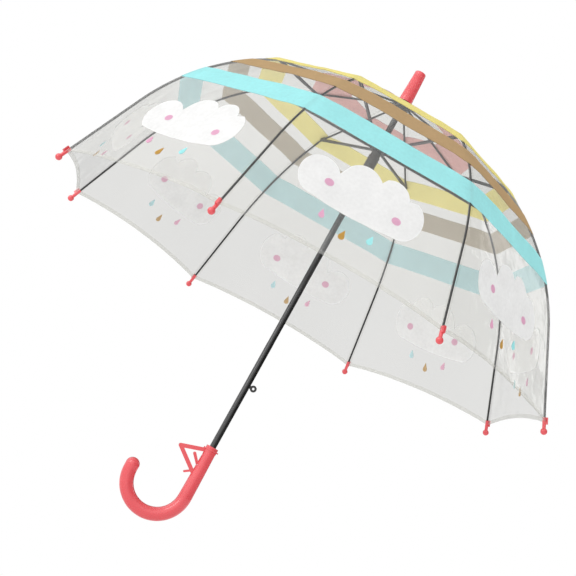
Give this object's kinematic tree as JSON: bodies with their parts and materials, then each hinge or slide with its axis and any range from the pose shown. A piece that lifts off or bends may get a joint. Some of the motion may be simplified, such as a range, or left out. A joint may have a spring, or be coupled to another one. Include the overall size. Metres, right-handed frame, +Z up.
{
  "type": "children's dome umbrella",
  "caption": "Open children's dome umbrella with a clear canopy, folding rib and stretcher frame, sliding runner, hooked handle, trigger and guard.",
  "frame": {"origin": "on the shaft axis, level with the lowest point of the hooked handle", "axes": "+Z up the shaft to the ferrule, -X to the side the hook points, -Y towards the middle of a canopy gore"},
  "size_m": [0.637, 0.637, 0.649],
  "materials": {
    "black_tube": "gloss black",
    "black_wire": "satin black",
    "steel_wire": "drawn wire",
    "dark_plastic": "satin dark grey",
    "coral_plastic": "gloss coral red",
    "clear_film": "clear soft film with printed rings and clouds"
  },
  "bodies": {
    "shaft": {"shaft_tube": "black_tube", "ferrule_cap": "coral_plastic", "crown_washer": "dark_plastic", "top_notch": "dark_plastic", "notch_wire": "steel_wire", "opening_spring": "steel_wire", "spring_seat": "dark_plastic", "handle": "coral_plastic", "handle_collar": "coral_plastic", "trigger_guard": "coral_plastic", "trigger_pin": "steel_wire"},
    "runner": {"runner": "dark_plastic", "runner_wire": "steel_wire", "spring_plug": "dark_plastic"},
    "catch": {"lower_catch": "black_tube"},
    "release": {"release_rod": "steel_wire"},
    "trigger": {"trigger": "coral_plastic"},
    "upper_rib_1": {"rib_inner_1": "black_wire"},
    "lower_rib_1": {"rib_outer_1": "black_wire", "rib_tip_1": "coral_plastic", "canopy_section_1": "clear_film"},
    "strut_1": {"stretcher_1": "black_wire"},
    "upper_rib_2": {"rib_inner_2": "black_wire"},
    "lower_rib_2": {"rib_outer_2": "black_wire", "rib_tip_2": "coral_plastic", "canopy_section_2": "clear_film"},
    "strut_2": {"stretcher_2": "black_wire"},
    "upper_rib_3": {"rib_inner_3": "black_wire"},
    "lower_rib_3": {"rib_outer_3": "black_wire", "rib_tip_3": "coral_plastic", "canopy_section_3": "clear_film"},
    "strut_3": {"stretcher_3": "black_wire"},
    "upper_rib_4": {"rib_inner_4": "black_wire"},
    "lower_rib_4": {"rib_outer_4": "black_wire", "rib_tip_4": "coral_plastic", "canopy_section_4": "clear_film"},
    "strut_4": {"stretcher_4": "black_wire"},
    "upper_rib_5": {"rib_inner_5": "black_wire"},
    "lower_rib_5": {"rib_outer_5": "black_wire", "rib_tip_5": "coral_plastic", "canopy_section_5": "clear_film"},
    "strut_5": {"stretcher_5": "black_wire"},
    "upper_rib_6": {"rib_inner_6": "black_wire"},
    "lower_rib_6": {"rib_outer_6": "black_wire", "rib_tip_6": "coral_plastic", "canopy_section_6": "clear_film"},
    "strut_6": {"stretcher_6": "black_wire"},
    "upper_rib_7": {"rib_inner_7": "black_wire"},
    "lower_rib_7": {"rib_outer_7": "black_wire", "rib_tip_7": "coral_plastic", "canopy_section_7": "clear_film"},
    "strut_7": {"stretcher_7": "black_wire"},
    "upper_rib_8": {"rib_inner_8": "black_wire"},
    "lower_rib_8": {"rib_outer_8": "black_wire", "rib_tip_8": "coral_plastic", "canopy_section_8": "clear_film"},
    "strut_8": {"stretcher_8": "black_wire"}
  },
  "joints": [
    {"name": "runner_slide", "type": "slide", "parent": "shaft", "child": "runner", "axis": [0, 0, 1], "range_m": [-0.2631, 0], "deforming": ["opening_spring"]},
    {"name": "trigger_pull", "type": "hinge", "parent": "shaft", "child": "trigger", "pos_m": [-0.006, 0, 0.087], "axis": [0, 1, 0], "range_deg": [0, 15.1]},
    {"name": "catch_press", "type": "slide", "parent": "shaft", "child": "catch", "axis": [1, 0, 0], "range_m": [-0.0051, 0]},
    {"name": "release_slide", "type": "slide", "parent": "shaft", "child": "release", "axis": [0, 0, 1], "range_m": [-0.003, 0]},
    {"name": "rib_hinge_1", "type": "hinge", "parent": "shaft", "child": "upper_rib_1", "pos_m": [0.00785, 0.00325, 0.5995], "axis": [-0.3827, 0.9239, 0], "range_deg": [0, 63.18]},
    {"name": "rib_bend_1", "type": "hinge", "parent": "upper_rib_1", "child": "lower_rib_1", "pos_m": [0.15845, 0.06563, 0.55237], "axis": [-0.3827, 0.9239, 0], "range_deg": [-23.92, 0], "deforming": ["canopy_section_1"]},
    {"name": "strut_hinge_1", "type": "hinge", "parent": "runner", "child": "strut_1", "pos_m": [0.00785, 0.00325, 0.535], "axis": [-0.3827, 0.9239, 0], "range_deg": [-72.84, 0]},
    {"name": "rib_hinge_2", "type": "hinge", "parent": "shaft", "child": "upper_rib_2", "pos_m": [0.00325, 0.00785, 0.5995], "axis": [-0.9239, 0.3827, 0], "range_deg": [0, 63.18]},
    {"name": "rib_bend_2", "type": "hinge", "parent": "upper_rib_2", "child": "lower_rib_2", "pos_m": [0.06563, 0.15845, 0.55237], "axis": [-0.9239, 0.3827, 0], "range_deg": [-23.92, 0], "deforming": ["canopy_section_2"]},
    {"name": "strut_hinge_2", "type": "hinge", "parent": "runner", "child": "strut_2", "pos_m": [0.00325, 0.00785, 0.535], "axis": [-0.9239, 0.3827, 0], "range_deg": [-72.84, 0]},
    {"name": "rib_hinge_3", "type": "hinge", "parent": "shaft", "child": "upper_rib_3", "pos_m": [-0.00325, 0.00785, 0.5995], "axis": [-0.9239, -0.3827, 0], "range_deg": [0, 63.18]},
    {"name": "rib_bend_3", "type": "hinge", "parent": "upper_rib_3", "child": "lower_rib_3", "pos_m": [-0.06563, 0.15845, 0.55237], "axis": [-0.9239, -0.3827, 0], "range_deg": [-23.92, 0], "deforming": ["canopy_section_3"]},
    {"name": "strut_hinge_3", "type": "hinge", "parent": "runner", "child": "strut_3", "pos_m": [-0.00325, 0.00785, 0.535], "axis": [-0.9239, -0.3827, 0], "range_deg": [-72.84, 0]},
    {"name": "rib_hinge_4", "type": "hinge", "parent": "shaft", "child": "upper_rib_4", "pos_m": [-0.00785, 0.00325, 0.5995], "axis": [-0.3827, -0.9239, 0], "range_deg": [0, 63.18]},
    {"name": "rib_bend_4", "type": "hinge", "parent": "upper_rib_4", "child": "lower_rib_4", "pos_m": [-0.15845, 0.06563, 0.55237], "axis": [-0.3827, -0.9239, 0], "range_deg": [-23.92, 0], "deforming": ["canopy_section_4"]},
    {"name": "strut_hinge_4", "type": "hinge", "parent": "runner", "child": "strut_4", "pos_m": [-0.00785, 0.00325, 0.535], "axis": [-0.3827, -0.9239, 0], "range_deg": [-72.84, 0]},
    {"name": "rib_hinge_5", "type": "hinge", "parent": "shaft", "child": "upper_rib_5", "pos_m": [-0.00785, -0.00325, 0.5995], "axis": [0.3827, -0.9239, 0], "range_deg": [0, 63.18]},
    {"name": "rib_bend_5", "type": "hinge", "parent": "upper_rib_5", "child": "lower_rib_5", "pos_m": [-0.15845, -0.06563, 0.55237], "axis": [0.3827, -0.9239, 0], "range_deg": [-23.92, 0], "deforming": ["canopy_section_5"]},
    {"name": "strut_hinge_5", "type": "hinge", "parent": "runner", "child": "strut_5", "pos_m": [-0.00785, -0.00325, 0.535], "axis": [0.3827, -0.9239, 0], "range_deg": [-72.84, 0]},
    {"name": "rib_hinge_6", "type": "hinge", "parent": "shaft", "child": "upper_rib_6", "pos_m": [-0.00325, -0.00785, 0.5995], "axis": [0.9239, -0.3827, 0], "range_deg": [0, 63.18]},
    {"name": "rib_bend_6", "type": "hinge", "parent": "upper_rib_6", "child": "lower_rib_6", "pos_m": [-0.06563, -0.15845, 0.55237], "axis": [0.9239, -0.3827, 0], "range_deg": [-23.92, 0], "deforming": ["canopy_section_6"]},
    {"name": "strut_hinge_6", "type": "hinge", "parent": "runner", "child": "strut_6", "pos_m": [-0.00325, -0.00785, 0.535], "axis": [0.9239, -0.3827, 0], "range_deg": [-72.84, 0]},
    {"name": "rib_hinge_7", "type": "hinge", "parent": "shaft", "child": "upper_rib_7", "pos_m": [0.00325, -0.00785, 0.5995], "axis": [0.9239, 0.3827, 0], "range_deg": [0, 63.18]},
    {"name": "rib_bend_7", "type": "hinge", "parent": "upper_rib_7", "child": "lower_rib_7", "pos_m": [0.06563, -0.15845, 0.55237], "axis": [0.9239, 0.3827, 0], "range_deg": [-23.92, 0], "deforming": ["canopy_section_7"]},
    {"name": "strut_hinge_7", "type": "hinge", "parent": "runner", "child": "strut_7", "pos_m": [0.00325, -0.00785, 0.535], "axis": [0.9239, 0.3827, 0], "range_deg": [-72.84, 0]},
    {"name": "rib_hinge_8", "type": "hinge", "parent": "shaft", "child": "upper_rib_8", "pos_m": [0.00785, -0.00325, 0.5995], "axis": [0.3827, 0.9239, 0], "range_deg": [0, 63.18]},
    {"name": "rib_bend_8", "type": "hinge", "parent": "upper_rib_8", "child": "lower_rib_8", "pos_m": [0.15845, -0.06563, 0.55237], "axis": [0.3827, 0.9239, 0], "range_deg": [-23.92, 0], "deforming": ["canopy_section_8"]},
    {"name": "strut_hinge_8", "type": "hinge", "parent": "runner", "child": "strut_8", "pos_m": [0.00785, -0.00325, 0.535], "axis": [0.3827, 0.9239, 0], "range_deg": [-72.84, 0]}
  ],
  "couplings": [
    {"joint": "catch_press", "follows": "release_slide", "ratio": 1.6667},
    {"joint": "trigger_pull", "follows": "release_slide", "rad_per_m": -87.266},
    {"joint": "rib_hinge_1", "follows": "runner_slide", "rad_per_m": -4.1909},
    {"joint": "rib_bend_1", "follows": "runner_slide", "rad_per_m": 1.5867},
    {"joint": "strut_hinge_1", "follows": "runner_slide", "rad_per_m": 4.8318},
    {"joint": "rib_hinge_2", "follows": "runner_slide", "rad_per_m": -4.1909},
    {"joint": "rib_bend_2", "follows": "runner_slide", "rad_per_m": 1.5867},
    {"joint": "strut_hinge_2", "follows": "runner_slide", "rad_per_m": 4.8318},
    {"joint": "rib_hinge_3", "follows": "runner_slide", "rad_per_m": -4.1909},
    {"joint": "rib_bend_3", "follows": "runner_slide", "rad_per_m": 1.5867},
    {"joint": "strut_hinge_3", "follows": "runner_slide", "rad_per_m": 4.8318},
    {"joint": "rib_hinge_4", "follows": "runner_slide", "rad_per_m": -4.1909},
    {"joint": "rib_bend_4", "follows": "runner_slide", "rad_per_m": 1.5867},
    {"joint": "strut_hinge_4", "follows": "runner_slide", "rad_per_m": 4.8318},
    {"joint": "rib_hinge_5", "follows": "runner_slide", "rad_per_m": -4.1909},
    {"joint": "rib_bend_5", "follows": "runner_slide", "rad_per_m": 1.5867},
    {"joint": "strut_hinge_5", "follows": "runner_slide", "rad_per_m": 4.8318},
    {"joint": "rib_hinge_6", "follows": "runner_slide", "rad_per_m": -4.1909},
    {"joint": "rib_bend_6", "follows": "runner_slide", "rad_per_m": 1.5867},
    {"joint": "strut_hinge_6", "follows": "runner_slide", "rad_per_m": 4.8318},
    {"joint": "rib_hinge_7", "follows": "runner_slide", "rad_per_m": -4.1909},
    {"joint": "rib_bend_7", "follows": "runner_slide", "rad_per_m": 1.5867},
    {"joint": "strut_hinge_7", "follows": "runner_slide", "rad_per_m": 4.8318},
    {"joint": "rib_hinge_8", "follows": "runner_slide", "rad_per_m": -4.1909},
    {"joint": "rib_bend_8", "follows": "runner_slide", "rad_per_m": 1.5867},
    {"joint": "strut_hinge_8", "follows": "runner_slide", "rad_per_m": 4.8318}
  ]
}
